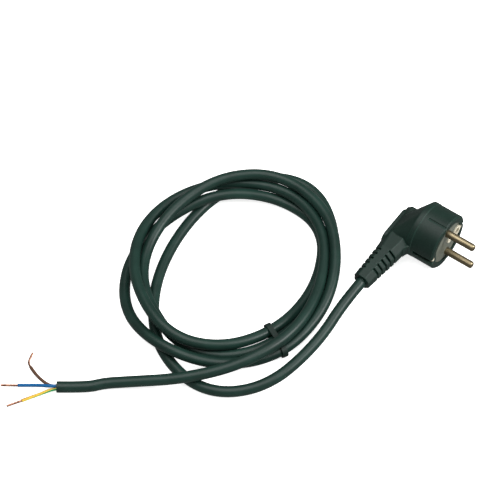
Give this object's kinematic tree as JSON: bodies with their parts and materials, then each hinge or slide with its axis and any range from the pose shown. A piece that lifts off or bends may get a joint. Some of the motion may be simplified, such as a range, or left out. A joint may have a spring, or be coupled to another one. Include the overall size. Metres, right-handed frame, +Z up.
{
  "type": "power cord",
  "caption": "Black angled mains plug, earthed two-pin pattern, moulded onto a round cable that lies in a loose tied coil, with its far end stripped to brown, blue and green-yellow cores.",
  "frame": {"origin": "middle of the plug's bounding box on the floor; the cable and all on it are left out of that box", "axes": "+X out along the pins, -Y along the boot, +Z up from the floor the cord lies on"},
  "size_m": [0.1867, 0.2652, 0.0374],
  "materials": {
    "black_pvc": "satin",
    "grey_bridge": "matte",
    "nickelled_brass": "polished",
    "spring_brass": "satin",
    "brown_insulation": "satin",
    "blue_insulation": "satin",
    "green_yellow_insulation": "satin",
    "bare_copper": "polished"
  },
  "bodies": {
    "root": {"live_pin": "nickelled_brass", "neutral_pin": "nickelled_brass", "pin_bridge": "grey_bridge", "earth_strip": "spring_brass", "earth_socket": "nickelled_brass", "earth_rivet": "nickelled_brass", "live_core_tail": "brown_insulation", "neutral_core_tail": "blue_insulation", "earth_core_tail": "green_yellow_insulation", "plug_overmould": "black_pvc", "cable_jacket": "black_pvc", "core_brown": "brown_insulation", "core_blue": "blue_insulation", "core_green_yellow": "green_yellow_insulation", "conductor_brown": "bare_copper", "conductor_blue": "bare_copper", "conductor_green_yellow": "bare_copper", "cable_tie": "black_pvc"}
  },
  "joints": []
}
